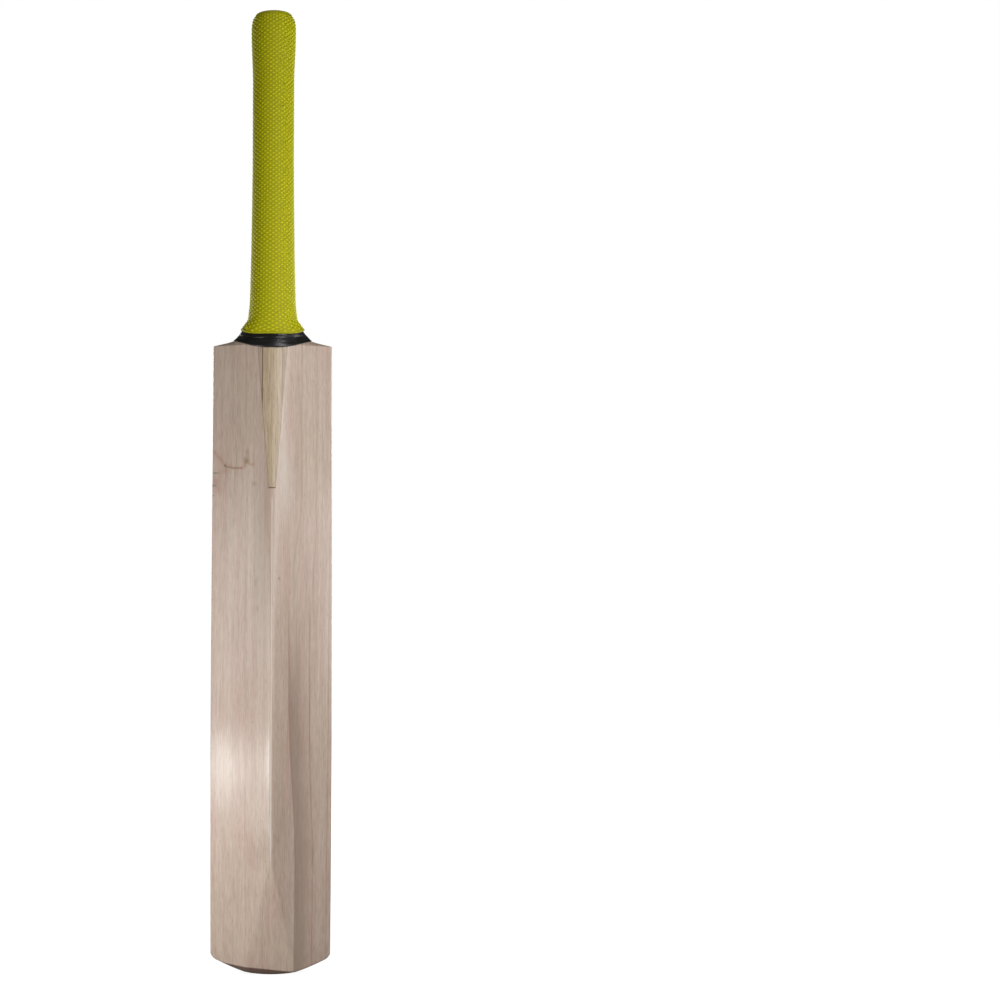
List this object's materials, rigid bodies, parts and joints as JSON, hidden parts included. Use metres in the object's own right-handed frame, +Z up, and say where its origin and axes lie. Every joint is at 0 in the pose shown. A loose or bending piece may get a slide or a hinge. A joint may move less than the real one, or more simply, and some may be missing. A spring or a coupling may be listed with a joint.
{
  "type": "cricket bat",
  "caption": "Full-size cricket bat with a spined willow blade, a V-spliced cane handle, black throat tape and a textured rubber grip.",
  "frame": {"origin": "on the handle's axis in the middle of the grip, where the hands hold the bat", "axes": "+Z up along the handle's axis, towards its top; -Y is the way the hitting face looks and +Y the way the spine looks; X runs across the blade"},
  "size_m": [0.108, 0.0809, 0.8547],
  "materials": {
    "willow": "satin",
    "cane": "satin",
    "spring_rubber": "matte",
    "twine": "matte",
    "tape": "gloss",
    "grip_rubber": "matte"
  },
  "bodies": {
    "root": {"blade": "willow", "cane_face_left": "cane", "cane_face_centre": "cane", "cane_face_right": "cane", "cane_inner_face_left": "cane", "cane_inner_face_centre": "cane", "cane_inner_face_right": "cane", "cane_inner_back_left": "cane", "cane_inner_back_centre": "cane", "cane_inner_back_right": "cane", "cane_back_left": "cane", "cane_back_centre": "cane", "cane_back_right": "cane", "rubber_spring_front": "spring_rubber", "rubber_spring_middle": "spring_rubber", "rubber_spring_back": "spring_rubber", "twine_binding": "twine", "throat_tape_lower": "tape", "throat_tape_upper": "tape", "grip": "grip_rubber"}
  },
  "joints": []
}
